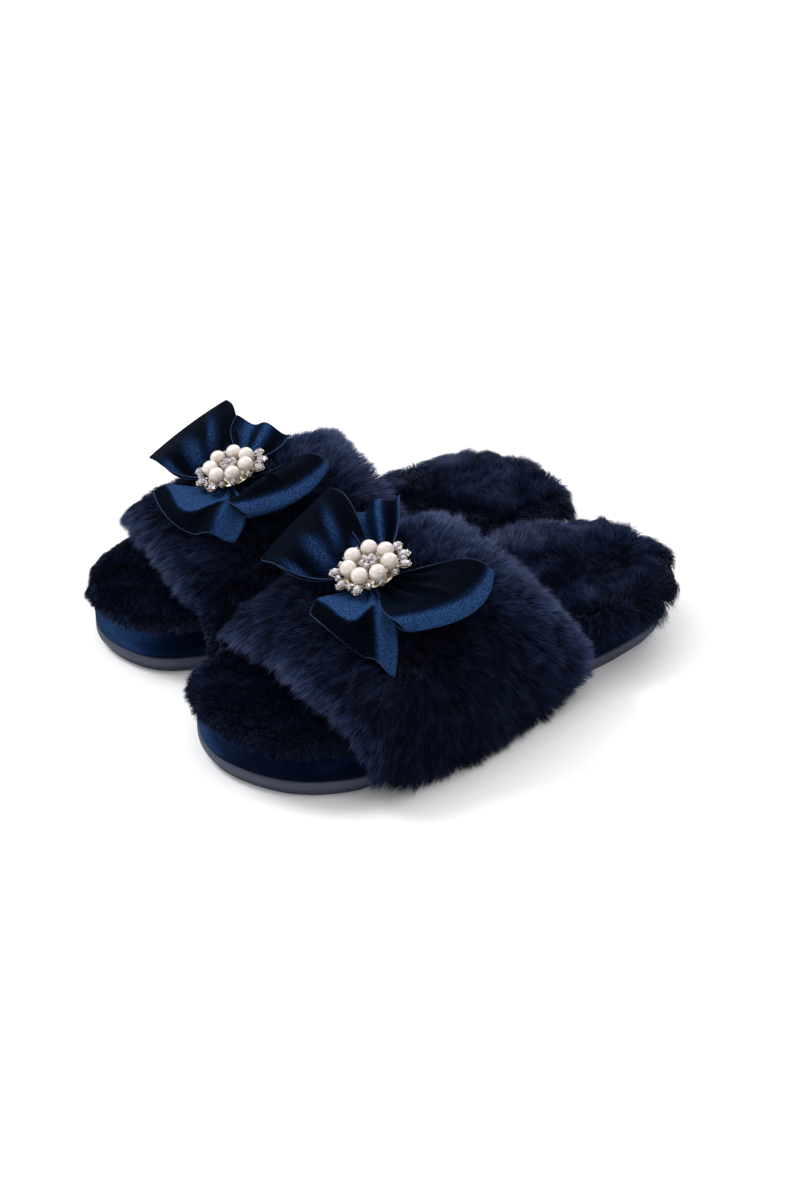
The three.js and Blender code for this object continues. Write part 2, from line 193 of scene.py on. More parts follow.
def grid_faces(rows, columns, wrap=False, start=0):
    """Faces over rows x columns points. With wrap, the last column joins the first."""
    faces = []
    for r in range(rows - 1):
        for c in range(columns if wrap else columns - 1):
            d = (c + 1) % columns
            a, b = start + r * columns, start + (r + 1) * columns
            faces.append((a + c, a + d, b + d, b + c))
    return faces


def stack(rings, closed=True):
    """Vertices and faces through rings of the same size, with a fan over both ends."""
    count = len(rings[0])
    vertices = np.concatenate(rings)
    faces = grid_faces(len(rings), count, wrap=True)
    if closed:
        ends = np.array([rings[0].mean(axis=0), rings[-1].mean(axis=0)])
        first, last = len(vertices), len(vertices) + 1
        top = (len(rings) - 1) * count
        for i in range(count):
            j = (i + 1) % count
            faces.append((first, j, i))
            faces.append((last, top + i, top + j))
        vertices = np.concatenate([vertices, ends])
    return vertices, faces


def thick_grid(outside, inside):
    """Vertices and faces of a sheet between two grids of points of the same size."""
    rows, columns = outside.shape[:2]
    half = rows * columns
    vertices = np.concatenate([outside.reshape(-1, 3), inside.reshape(-1, 3)])
    faces = [tuple(reversed(f)) for f in grid_faces(rows, columns)]
    faces += grid_faces(rows, columns, start=half)
    grid = np.arange(half).reshape(rows, columns)
    rim = np.concatenate([grid[0, :-1], grid[:-1, -1], grid[-1, :0:-1], grid[:0:-1, 0]])
    for a, b in zip(rim, np.roll(rim, -1)):
        faces.append((b, b + half, a + half, a))
    return vertices, faces


def lathe(profile, count):
    """Rings turned about Z through (radius, height) points."""
    angles = np.arange(count) * 2 * math.pi / count
    return [xyz(r * np.cos(angles), r * np.sin(angles), z) for r, z in profile]


def joined(parts):
    """One list of vertices and faces from several."""
    vertices, faces, start = [], [], 0
    for part_vertices, part_faces in parts:
        vertices.append(part_vertices)
        faces += [tuple(i + start for i in f) for f in part_faces]
        start += len(part_vertices)
    return np.concatenate(vertices), faces


# ---- the sole's outline

def closed_curve(points, count):
    """An evenly spaced smooth curve through the points, and its outward directions."""
    p = np.array(points, dtype=float)
    samples = []
    for i in range(len(p)):
        p0, p1, p2, p3 = (p[(i + k) % len(p)] for k in (-1, 0, 1, 2))
        d0, d1, d2 = (np.linalg.norm(b - a) ** 0.5 for a, b in ((p0, p1), (p1, p2), (p2, p3)))
        t1 = ((p1 - p0) / d0 - (p2 - p0) / (d0 + d1) + (p2 - p1) / d1) * d1
        t2 = ((p2 - p1) / d1 - (p3 - p1) / (d1 + d2) + (p3 - p2) / d2) * d1
        t = np.linspace(0, 1, 60, endpoint=False)[:, None]
        samples.append(
            p1 + t1 * t + (3 * (p2 - p1) - 2 * t1 - t2) * t**2 + (2 * (p1 - p2) + t1 + t2) * t**3
        )
    line = np.concatenate(samples + [p[:1]])
    length = np.concatenate([[0], np.cumsum(np.linalg.norm(np.diff(line, axis=0), axis=1))])
    at = np.linspace(0, length[-1], count, endpoint=False)
    even = np.stack([np.interp(at, length, line[:, k]) for k in (0, 1)], axis=-1)
    along = unit(np.roll(even, -1, axis=0) - np.roll(even, 1, axis=0))
    return even, np.stack([along[:, 1], -along[:, 0]], axis=-1)


OUTLINE, OUTWARD = closed_curve(SOLE_OUTLINE, 240)


def sole_ring(offset, height):
    """A ring round the sole. Offset and height are numbers or functions of x and y."""
    x, y = OUTLINE.T
    offset = offset(x, y) if callable(offset) else offset
    height = height(x, y) if callable(height) else height
    moved = OUTLINE + OUTWARD * np.broadcast_to(offset, len(x))[:, None]
    return np.column_stack([moved, np.broadcast_to(height, len(x))])


def sole_edge(y, side):
    """Half the sole's width at y, on the outer (1) or inner (-1) side."""
    edge = OUTLINE[OUTLINE[:, 0] * side > 0]
    edge = edge[np.argsort(edge[:, 1])]
    return np.interp(y, edge[:, 1], np.abs(edge[:, 0]))


# ---- the band's surface

def band_point(u, v):
    """The band's inner face: u from front to rear, v from the outer foot (0) to the inner (1)."""
    u, v = np.broadcast_arrays(np.asarray(u, float), np.asarray(v, float))
    angle = math.pi * v
    cosine = np.cos(angle)
    across = np.sign(cosine) * np.abs(cosine) ** (2 / BAND_SQUARENESS)
    rise = np.maximum(np.sin(angle), 0) ** (2 / BAND_SQUARENESS)
    outer = v < 0.5
    foot_y = np.where(outer, mix(*BAND_OUTER_FOOT, u), mix(*BAND_INNER_FOOT, u))
    edge = np.where(outer, sole_edge(foot_y, 1), sole_edge(foot_y, -1)) + BAND_CLEARANCE
    crest_z = mix(*BAND_CREST_Z, u) + 4 * BAND_SWELL * u * (1 - u)
    y = mix(foot_y, mix(*BAND_CREST_Y, u), rise)
    return xyz(edge * across, y, mix(BAND_SHOULDER, crest_z, rise))


def band_normal(u, v):
    step = 0.01
    inside = np.clip(v, 2 * step, 1 - 2 * step)
    along = band_point(u + step, inside) - band_point(u - step, inside)
    around = band_point(u, inside + step) - band_point(u, inside - step)
    normal = unit(np.cross(along, around))
    sideways = np.zeros_like(normal)
    sideways[..., 0] = np.where(np.asarray(v) < 0.5, 1, -1)
    at_foot = (1 - smooth(np.minimum(v, 1 - np.asarray(v)), 0, 0.06))[..., None]
    return unit(mix(normal, sideways, at_foot))


def band_skin(u, v, lift):
    """A point above the band's inner face. Past 0 and 1, v runs down the straight sides."""
    over = np.maximum(np.maximum(-v, v - 1), 0)
    inside = np.clip(v, 0, 1)
    points = band_point(u, inside) + band_normal(u, inside) * np.asarray(lift)[..., None]
    corner = 1 - 0.34 * np.abs(2 * np.clip(u, 0, 1) - 1) ** 4
    points[..., 2] -= over / SKIRT * SKIRT_DROP * corner
    return points


def pile_depth(u, v, side):
    """How far the fur's dense part stands off the band."""
    edge_v = np.clip(np.minimum(v, 1 - v), 0, 0.5)
    low_down = np.where(v < 0.5, OUTER_PILE, INNER_PILE)
    depth = mix(low_down, CROWN_PILE, smooth(edge_v, 0.06, 0.4))
    edge_u = np.abs(2 * np.clip(u, 0, 1) - 1)
    place = band_point(u, np.clip(v, 0, 1))
    away = np.hypot(place[..., 0] - BOW_OUTWARD, place[..., 1] - BOW_Y[side]) / BOW_HOLLOW
    return depth * np.sqrt(1 - 0.75 * edge_u**4) - BOW_DENT * np.exp(-away * away)


# ---- materials

def set_inputs(node, **settings):
    for socket, value in settings.items():
        node.inputs[socket.replace("_", " ")].default_value = value


def new_material(name, roughness, metallic=0.0, **extra):
    material = bpy.data.materials.new(name)
    material.use_nodes = True
    tree = material.node_tree
    shader = tree.nodes["Principled BSDF"]
    set_inputs(shader, Roughness=roughness, Metallic=metallic, **extra)
    return material, tree, shader


def texture(tree, kind, scale, **settings):
    """A texture node on the piece's own coordinates. Scale is in patterns per metre."""
    place = tree.nodes.new("ShaderNodeTexCoord")
    made = tree.nodes.new(kind)
    set_inputs(made, Scale=scale, **settings)
    tree.links.new(place.outputs["Object"], made.inputs["Vector"])
    return made


def noise(tree, scale, **settings):
    return texture(tree, "ShaderNodeTexNoise", scale, **settings).outputs["Fac"]


def attribute(tree, name):
    made = tree.nodes.new("ShaderNodeAttribute")
    made.attribute_name = name
    return made.outputs["Fac"]


def weighted_sum(tree, *terms):
    """The sum of some values, each times its weight: terms are (value, weight)."""
    total = None
    for value, weight in terms:
        made = tree.nodes.new("ShaderNodeMath")
        made.operation = "MULTIPLY_ADD"
        made.inputs[1].default_value = weight
        made.inputs[2].default_value = 0
        tree.links.new(value, made.inputs[0])
        if total:
            tree.links.new(total, made.inputs[2])
        total = made.outputs["Value"]
    return total


def ramp(tree, source, stops):
    """Colours along a value: stops are (position, colour)."""
    made = tree.nodes.new("ShaderNodeValToRGB")
    elements = made.color_ramp.elements
    while len(elements) < len(stops):
        elements.new(0.5)
    for element, (position, colour) in zip(elements, stops):
        element.position = position
        element.color = (*colour, 1)
    tree.links.new(source, made.inputs["Fac"])
    return made.outputs["Color"]


def paint(tree, shader, source, *stops):
    """Colour a surface along a value: stops are (position, colour)."""
    tree.links.new(ramp(tree, source, stops), shader.inputs["Base Color"])


def bump(tree, shader, height, strength, distance):
    """Relief that stands up to a distance in metres."""
    made = tree.nodes.new("ShaderNodeBump")
    set_inputs(made, Strength=strength, Distance=distance)
    tree.links.new(height, made.inputs["Height"])
    tree.links.new(made.outputs["Normal"], shader.inputs["Normal"])


def rubber_material():
    material, tree, shader = new_material("outsole_rubber", 0.62, Specular_IOR_Level=0.45)
    cloudy = noise(tree, 45, Detail=4)
    paint(tree, shader, cloudy, (0.3, (0.025, 0.031, 0.056)), (0.7, (0.037, 0.045, 0.078)))
    bump(tree, shader, noise(tree, 2600, Detail=2), 0.25, 0.0002)
    return material


def velvet_material(name, dark, middle, light):
    """Velvet: nearly black, with a painted sheen that turns it blue and sparkling in patches, up
    to its light colour.
    """
    material, tree, shader = new_material(
        name, 0.8, Specular_IOR_Level=0.02, Specular_Tint=(0.2, 0.45, 1.0, 1),
        Sheen_Weight=0.06, Sheen_Roughness=0.25, Sheen_Tint=(0.10, 0.30, 0.85, 1),
    )
    pile = noise(tree, 1400, Detail=2)
    tone = weighted_sum(tree, (attribute(tree, "painted_sheen"), 0.50), (pile, 0.80))
    paint(tree, shader, tone, (0.48, dark), (0.74, middle), (1.0, light))
    bump(tree, shader, pile, 0.9, 0.001)
    return material


def fur_material(name, root, body, tip, pale):
    """Strands: dark at the root, a painted shade deep in the pile, and lighter at the tip, each a
    little different. Strands given a painted highlight reach the lightest colour.
    """
    cool = (0.45, 0.5, 0.9, 1)
    material, tree, shader = new_material(
        name, 0.55, Specular_IOR_Level=0.12, Specular_Tint=cool,
        Sheen_Weight=0.08, Sheen_Roughness=0.4, Sheen_Tint=cool,
    )
    tone = weighted_sum(tree, (attribute(tree, "along"), 0.7), (attribute(tree, "shade"), 0.4))
    paint(tree, shader, tone, (0.07, root), (0.49, body), (0.70, tip), (1.0, pale))
    return material


def undercoat_material(name, dark, light):
    """The dense short fur between the strands."""
    material, tree, shader = new_material(name, 0.95, Specular_IOR_Level=0.05)
    paint(tree, shader, noise(tree, 420, Detail=4), (0.35, dark), (0.75, light))
    bump(tree, shader, noise(tree, 900, Detail=4), 0.9, 0.0012)
    return material


def pearl_material():
    material, tree, shader = new_material(
        "pearl", 0.30, Specular_IOR_Level=0.9, Coat_Weight=1.0, Coat_Roughness=0.13, Coat_IOR=1.75,
        Sheen_Weight=0.1, Sheen_Roughness=0.3, Sheen_Tint=(1.0, 0.9, 0.88, 1),
    )
    nacre = noise(tree, 220, Detail=2)
    paint(tree, shader, nacre, (0.3, (0.60, 0.52, 0.46)), (0.7, (0.73, 0.65, 0.59)))
    return material


def crystal_material():
    material, tree, shader = new_material(
        "crystal", 0.04, 0.55, Specular_IOR_Level=0.9, Coat_Weight=1.0, Coat_Roughness=0.02,
    )
    # Painted reflections: bright and dark cells in the stones' colour stand in for glints on their
    # facets.
    painted_facet_glints = texture(tree, "ShaderNodeTexVoronoi", 900).outputs["Distance"]
    paint(
        tree, shader, painted_facet_glints,
        (0.15, (0.90, 0.86, 0.88)), (0.50, (0.16, 0.14, 0.18)), (0.85, (0.60, 0.55, 0.60)))
    return material


def metal_material():
    material, tree, shader = new_material("pale_gold", 0.24, 1.0)
    wear = noise(tree, 500, Detail=3)
    paint(tree, shader, wear, (0.3, (0.50, 0.42, 0.31)), (0.7, (0.68, 0.61, 0.50)))
    bump(tree, shader, wear, 0.15, 0.0001)
    return material


def speckled_material(name, dark, light, scale, roughness, depth):
    """Foam, board, felt and plain cloth: mottled and finely rough."""
    material, tree, shader = new_material(name, roughness, Specular_IOR_Level=0.15)
    mottle = noise(tree, scale, Detail=5, Roughness=0.7)
    paint(tree, shader, mottle, (0.3, dark), (0.7, light))
    bump(tree, shader, mottle, 0.6, depth)
    return material


def floor_material():
    material, tree, shader = new_material("floor", 0.9, Specular_IOR_Level=0.0)
    faint = noise(tree, 3)
    paint(tree, shader, faint, (0.0, (0.93, 0.93, 0.935)), (1.0, (0.95, 0.95, 0.955)))
    return material


RUBBER = rubber_material()
PLATFORM_VELVET = velvet_material(
    "platform_velvet", (0.0007, 0.0025, 0.009), (0.003, 0.011, 0.036), (0.012, 0.038, 0.11))
BOW_VELVET = velvet_material(
    "bow_velvet", (0.0006, 0.0011, 0.0022), (0.0035, 0.012, 0.040), (0.022, 0.060, 0.165))
FUR = fur_material(
    "band_fur", (0.0004, 0.0008, 0.0026), (0.0020, 0.0050, 0.0175), (0.024, 0.043, 0.115),
    (0.097, 0.123, 0.229))
PLUSH = fur_material(
    "footbed_fur", (0.0004, 0.0009, 0.0028), (0.0018, 0.0052, 0.0200), (0.019, 0.040, 0.108),
    (0.110, 0.125, 0.215))
UNDERCOAT = undercoat_material("undercoat", (0.0003, 0.0007, 0.002), (0.001, 0.002, 0.006))
PLUSH_BASE = undercoat_material("plush_base", (0.0008, 0.0018, 0.006), (0.004, 0.009, 0.028))
LINING = undercoat_material("band_lining", (0.0005, 0.001, 0.003), (0.002, 0.0035, 0.010))
PEARL = pearl_material()
CRYSTAL = crystal_material()
METAL = metal_material()
SELVEDGE = speckled_material(
    "selvedge", (0.008, 0.022, 0.065), (0.02, 0.05, 0.13), 1800, 0.5, 0.0001)
HIDDEN = {
    node: speckled_material(*look)
    for node, *look in (
        ("midsole", "midsole_foam", (0.5, 0.48, 0.43), (0.7, 0.68, 0.62), 900, 0.9, 0.0004),
        ("insole_board", "fibreboard", (0.3, 0.23, 0.16), (0.5, 0.4, 0.28), 1200, 0.85, 0.0002),
        ("footbed_foam", "soft_foam", (0.62, 0.6, 0.55), (0.8, 0.78, 0.72), 700, 0.9, 0.0005),
        ("band_interlining", "interlining", (0.006, 0.009, 0.02), (0.014, 0.02, 0.04),
         1500, 0.9, 0.0002),
        ("bow_pad", "felt", (0.006, 0.01, 0.03), (0.015, 0.022, 0.055), 1600, 0.95, 0.0003),
    )
}


# ---- fur strands

def strand_mesh(roots, middles, ends, width, shade, rng):
    """Thin strands, each bent once: two points at the root, two half way, one at the tip."""
    count = len(roots)
    across = unit(np.cross(ends - roots, rng.normal(size=(count, 3)))) * width[:, None] / 2
    points = np.stack(
        [roots - across, roots + across, middles - across * 0.8, middles + across * 0.8, ends],
        axis=1,
    )
    along = [0.0, 0.0, 0.5, 0.5, 1.0]
    lower_part, upper_part = [0, 1, 3, 2], [2, 3, 4]
    corners = np.array(lower_part + upper_part)
    number = np.arange(count)[:, None]
    mesh = bpy.data.meshes.new("mesh")
    mesh.vertices.add(points.size // 3)
    mesh.vertices.foreach_set("co", points.reshape(-1).astype(np.float32))
    mesh.loops.add(count * len(corners))
    order = (number * len(along) + corners).reshape(-1)
    mesh.loops.foreach_set("vertex_index", order.astype(np.int32))
    mesh.polygons.add(count * 2)
    starts = (number * len(corners) + [0, len(lower_part)]).reshape(-1)
    mesh.polygons.foreach_set("loop_start", starts.astype(np.int32))
    mesh.polygons.foreach_set("use_smooth", np.ones(len(starts), dtype=bool))
    set_values(mesh, "along", np.tile(along, count))
    set_values(mesh, "shade", np.repeat(shade, len(along)))
    mesh.update(calc_edges=True)
    return mesh


def drawn_together(rng, roots, middles, ends, tufts, pull):
    """Bend the strands towards the strand in the middle of their tuft. Also numbers the tufts."""
    chosen = rng.choice(len(roots), size=min(tufts, len(roots)), replace=False)
    tree = KDTree(len(chosen))
    for i, k in enumerate(chosen):
        tree.insert(roots[k], i)
    tree.balance()
    tuft = np.array([tree.find(p)[1] for p in roots])
    share = pull * rng.uniform(0.4, 1.0, len(roots))[:, None]
    lead = chosen[tuft]
    return (
        mix(middles, middles[lead] + (roots - roots[lead]) * 0.6, share * 0.6),
        mix(ends, ends[lead] + (roots - roots[lead]) * 0.25, share),
        tuft,
    )


def grow(side, name, roots, directions, combs, lengths, tone_and_painted_light, tufts, seed, material):
    """Strands from the roots, combed and drawn into tufts, as one piece."""
    rng = np.random.default_rng(seed)
    count = len(roots)
    first = unit(unit(directions) + rng.normal(scale=0.20, size=(count, 3)))
    second = unit(first + combs + rng.normal(scale=0.25, size=(count, 3)))
    lengths = lengths * (1 + 0.16 * wave_noise(roots, 9, seed + 3)) * rng.uniform(0.7, 1.1, count)
    middles = roots + first * lengths[:, None] * 0.5
    ends = middles + second * lengths[:, None] * 0.5
    # Each strand's shade: its own random tone plus the tone and painted light that the caller
    # gives.
    shade = rng.uniform(-0.5, 0.4, count) + wave_noise(roots, 20, seed + 1) * 0.15 + tone_and_painted_light
    for number, pull in tufts:
        middles, ends, tuft = drawn_together(rng, roots, middles, ends, number, pull)
        shade += rng.uniform(-0.12, 0.12, number)[tuft]
    guard_hair = rng.random(count) < GUARD_HAIRS
    ends += (ends - middles) * guard_hair[:, None] * GUARD_HAIR_REACH
    shade += guard_hair * GUARD_HAIR_PALER
    middles[:, 2] = np.maximum(middles[:, 2], 0.8)
    ends[:, 2] = np.maximum(ends[:, 2], 0.5)
    width = STRAND_WIDTH * rng.uniform(0.7, 1.2, count) * MM
    rows = [to_row(points, side) for points in (roots, middles, ends)]
    mesh = strand_mesh(*rows, width, np.clip(shade, -1, 1), rng)
    new_piece(side, name, mesh, material)


def scatter(rng, low_u, high_u):
    """Random (u, v) places, one a strand, spread evenly over a stretch of the band."""
    rows, columns = 120, 240
    u = np.linspace(low_u, high_u, rows + 1)
    v = np.linspace(-SKIRT, 1 + SKIRT, columns + 1)
    grid = band_skin(*np.meshgrid(u, v, indexing="ij"), CROWN_PILE)
    one = grid[1:, :-1] - grid[:-1, :-1]
    two = grid[:-1, 1:] - grid[:-1, :-1]
    area = np.linalg.norm(np.cross(one, two), axis=-1).reshape(-1)
    row, column = np.divmod(rng.choice(len(area), size=STRANDS, p=area / area.sum()), columns)
    return (
        u[row] + rng.random(STRANDS) * (u[1] - u[0]),
        v[column] + rng.random(STRANDS) * (v[1] - v[0]),
    )


def swirls(roots, scale, seed):
    """Gentle random directions that change from place to place."""
    return np.stack([wave_noise(roots, scale, seed + k) for k in range(3)], axis=-1)


def band_comb(roots, normal, ahead, sides, front, rear, seed):
    """Which way the strands start, and which way they bend: down, and out of the band's ends."""
    sides, front, rear = sides[:, None], front[:, None], rear[:, None]
    down = np.array([0.0, 0.0, -1.0]) + normal * normal[:, 2:3]
    comb = down * (0.15 + 0.55 * sides) + ahead * (front * 1.1 - rear * 0.9)
    comb = comb + swirls(roots, 30, seed % 97 + 5) * 0.22
    direction = normal + comb * 0.5 + ahead * (front**4 * 0.8 - rear**4 * 0.7)
    return direction, comb + front**3 * [0.0, 0.0, -0.8]


def band_hair(u, v, roots, front, side):
    """The strands' length: long on the crest and the outer side, short inside and at the bow."""
    crest_hair, inner_hair, extra = 11.5, 6.5, 2.5
    inner_side = smooth(v, 0.70, 0.95)
    outer_side = smooth(-v, -0.30, -0.08)
    middle = np.sin(math.pi * np.clip(u, 0, 1))
    length = mix(crest_hair, inner_hair, inner_side) + extra * outer_side * middle
    length = length * (0.70 + 0.30 * pile_depth(u, v, side) / CROWN_PILE)
    length = length + extra * front**3 * (1 - inner_side)
    from_bow = np.hypot(roots[:, 0] - BOW_OUTWARD, roots[:, 1] - BOW_Y[side])
    return length * mix(0.62, 1.0, smooth(from_bow, 12, 40))


def band_strands(side, name, low, high, seed):
    """One stretch of the band's fur, from u = low to u = high."""
    rng = np.random.default_rng(seed)
    u, v = scatter(rng, low, high)
    past_end = np.maximum(np.maximum(u / FUR_FRONT, (u - 1) / (FUR_REAR - 1)), 0)
    lift = FUR_BASE + 0.4 * pile_depth(u, v, side)
    lift = lift * (1 - rng.random(STRANDS) * 0.7 * smooth(past_end, 0, 1))
    roots = band_skin(u, v, lift)
    normal = band_normal(u, np.clip(v, 0, 1))
    ahead = unit(band_skin(u - 0.01, v, lift) - band_skin(u + 0.01, v, lift))
    sides = smooth(np.abs(v - 0.5), 0.12, 0.46)
    front = 1 - smooth(u, FUR_FRONT, 0.5)
    rear = smooth(u, 0.55, FUR_REAR)
    direction, comb = band_comb(roots, normal, ahead, sides, front, rear, seed)
    length = band_hair(u, v, roots, front, side)
    # Painted light: lighter at the band's two ends and towards its rear, a painted highlight;
    # darker down both sides and a little towards the front, a painted shade.
    fringe = 1 - smooth(np.minimum(u - FUR_FRONT, FUR_REAR - u), 0.0, 0.13)
    tone_and_painted_light = 0.65 * fringe + 0.50 * rear**2 - 0.18 * front - 0.40 * sides
    tufts = ((420, 0.45), (2600, 0.5))
    grow(side, name, roots, direction, comb, length, tone_and_painted_light, tufts, seed, FUR)


def band_grid(low_u, high_u, skirt, rows, columns):
    """Evenly spaced (u, v) places over the band and a skirt at each foot."""
    u = np.linspace(low_u, high_u, rows)
    v = np.linspace(-skirt, 1 + skirt, columns)
    return np.meshgrid(u, v, indexing="ij")


def band_backing(side):
    """The dense part of the band's fur: a soft shell round the band's ends, for the strands."""
    u, v = band_grid(FUR_FRONT, FUR_REAR, SKIRT, 56, 110)
    past_end = np.maximum(-u, u - 1) > 0.003
    inside = band_skin(u, v, np.where(past_end, 0.3, FUR_BASE))
    edge = np.minimum(u - FUR_FRONT, FUR_REAR - u)
    depth = pile_depth(u, v, side) * 0.5 * (0.3 + 0.7 * smooth(edge, 0, 0.09))
    lumps = wave_noise(inside, 9, 31) * 0.4
    outside = band_skin(u, v, FUR_BASE + depth + lumps + 0.3)
    shell = thick_grid(outside, inside)
    mirrored_piece(side, "band_backing", shell, UNDERCOAT, "band_fur")


def band_lining(side):
    """The plush inside the band, a little rippled, and shorter at the feet than the fur."""
    u, v = band_grid(0, 1, SKIRT * 0.77, 36, 90)
    ripple = wave_noise(band_skin(u, v, 0.0), 14, 8) * 0.2
    cloth = thick_grid(band_skin(u, v, 1.5), band_skin(u, v, 0.15 + np.abs(ripple)))
    piece = mirrored_piece(side, "lining", cloth, LINING, "band_lining")


# ---- footbed

def footbed_spread(x, y):
    """How far the plush reaches past the sole's edge."""
    heel = mix(2.2, 6.0, smooth(x, -42, -28))
    fore = mix(-0.6, 1.2, smooth(-y, 76, 92))
    return mix(fore, heel, smooth(y, 44, 84))


def footbed_top(y):
    return mix(29.0, 36.0, smooth(y, -60, 84))


def seat_depth(y):
    """How far the footbed's middle is hollowed: most under the heel."""
    return 0.8 + 1.6 * smooth(y, 30, 80)


def footbed_cushion(side):
    """The plush footbed as a soft crowned pad with a rolled edge and a shallow heel seat."""
    base = PLATFORM_TOP

    def edge_ring(inset, share):
        """A ring this far inside the plush's edge, at a share of the pad's height."""
        return sole_ring(
            lambda x, y: footbed_spread(x, y) - inset,
            lambda x, y: base + (footbed_top(y) - 1.5 - base) * share)

    rolled_edge = [(1.6, 0.0), (0.5, 0.22), (0.2, 0.45), (0.9, 0.72), (3.0, 0.93)]
    rings = [sole_ring(-6, base)] + [edge_ring(*place) for place in rolled_edge]
    rim = edge_ring(6.0, 1.0)
    spine = xyz(0, np.clip(rim[:, 1], -88, 88), rim[:, 2])
    for share in np.linspace(0, 0.97, 22):
        ring = mix(rim, spine, share)
        seat = smooth(share, 0.05, 0.6) * seat_depth(ring[:, 1])
        lumps = wave_noise(ring, 13, 12) * 0.45
        ring[:, 2] += lumps - seat
        rings.append(ring)
    piece = mirrored_piece(
        side, "footbed_cushion", stack(rings), PLUSH_BASE, "footbed_fur")


def inside_sole(x, y):
    """How far inside the sole's edge each place is, and which way is outwards there."""
    places = np.stack([x, y], axis=-1)
    squared = (places**2).sum(1)[:, None] - 2 * places @ OUTLINE.T + (OUTLINE**2).sum(1)
    nearest = squared.argmin(axis=1)
    return ((OUTLINE[nearest] - places) * OUTWARD[nearest]).sum(1), OUTWARD[nearest]


def footbed_places(rng, low, high):
    """A place for each strand, how far inside the plush's edge it is, and the way outwards.
    Few stand under the band, and most stand near the edge."""
    half_width, tries = 62, STRANDS * 4
    y = rng.uniform(low, high, tries)
    x = rng.uniform(-half_width, half_width, tries)
    inset, out = inside_sole(x, y)
    rim = inset + footbed_spread(x, y) - 0.8
    under_band = (y > -70) & (y < 0)
    share = np.where(under_band, 0.15, mix(1.0, 0.5, smooth(rim, 0, 10)))
    keep = (rim > 0) & (rng.random(len(x)) < share)
    x, y, rim, out = (a[keep][:STRANDS] for a in (x, y, rim, out))
    return x, y, rim, np.column_stack([out, np.zeros(len(out))])


def footbed_hang(x, y):
    """How far the plush hangs over the edge: most at the heel, less at the inner side's rear."""
    hang = smooth(y, 0, 25) * mix(1.0, 0.55, smooth(-x, 0, 25) * smooth(-y, -115, -90))
    return np.maximum(hang, 0.55 * smooth(x, -10, 40))


def footbed_strands(side, name, low, high, seed):
    """Plush over the footbed from y = low to y = high, short at the toes and long at the heel."""
    rng = np.random.default_rng(seed)
    x, y, rim, out = footbed_places(rng, low, high)
    roll = 1 - smooth(rim, 0, 8)
    heel = smooth(y, 20, 70)
    hang = footbed_hang(x, y)
    top = footbed_top(y) - 1.6 - seat_depth(y) * smooth(rim, 8, 34)
    z = mix(top, PLATFORM_TOP + 1.0, roll**2 * rng.uniform(0.1, 1.0, len(x)))
    roots = xyz(x, y, z)
    length = mix(3.3, 10.5, heel) + mix(2.4, 3.4, hang) * roll
    # Painted light: the heel's plush is lighter round its rim on the side towards the row's -X, a
    # painted highlight. The toes' plush is darker, a painted shade under the band, and lighter at
    # the inner rim, a painted highlight. The heel also varies in tone at random.
    painted_heel_highlight = (1 - smooth(rim, 14, 40)) * smooth(-x * side, -30, 10)
    tone_and_painted_light = mix(-0.35, -0.16, heel) + 0.25 * roll * (1 - heel) * smooth(-x, -20, 10)
    tone_and_painted_light += heel * (0.20 * wave_noise(roots, 38, seed % 83) + 0.80 * painted_heel_highlight)
    upright = np.array([0, 0, 1.0])
    swirl = swirls(roots, 40, seed % 89 + 1) * [1, 1, 0]
    roll, heel, hang = roll[:, None], heel[:, None], hang[:, None]
    droop = mix(0.8, 1.4, hang)
    direction = upright * (1 - droop * roll) + out * roll * mix(1.1, 0.8, hang)
    direction += swirl * mix(0.25, 0.8, heel)
    comb = swirl * mix(0.35, 1.2, heel) + (out * mix(0.3, 0.0, hang) - upright * droop) * roll
    tufts = ((180, 0.35), (3500, 0.35))
    grow(side, name, roots, direction, comb, length, tone_and_painted_light, tufts, seed, PLUSH)


# ---- sole and platform

def outsole(side):
    """The rubber sole: a recessed tread band under a lip that sticks out round the platform."""
    profile = [
        (-3.6, 0.0), (-3.2, 0.15), (-2.5, 3.2), (-2.3, 3.7), (-0.9, 4.0), (-0.35, 4.5),
        (-0.05, 5.2), (0.0, 7.4), (-0.2, 8.2), (-0.7, 8.65), (-1.4, LIP_TOP), (-8.0, LIP_TOP),
    ]
    underside = [(-30, 0.0), (-9, 0.0)]
    rings = [sole_ring(offset, height) for offset, height in underside + profile]
    piece = mirrored_piece(
        side, "rubber_outsole", stack(rings), RUBBER, "outsole")
    sharp = piece.modifiers.new("edges", "EDGE_SPLIT")
    sharp.split_angle = math.radians(50)


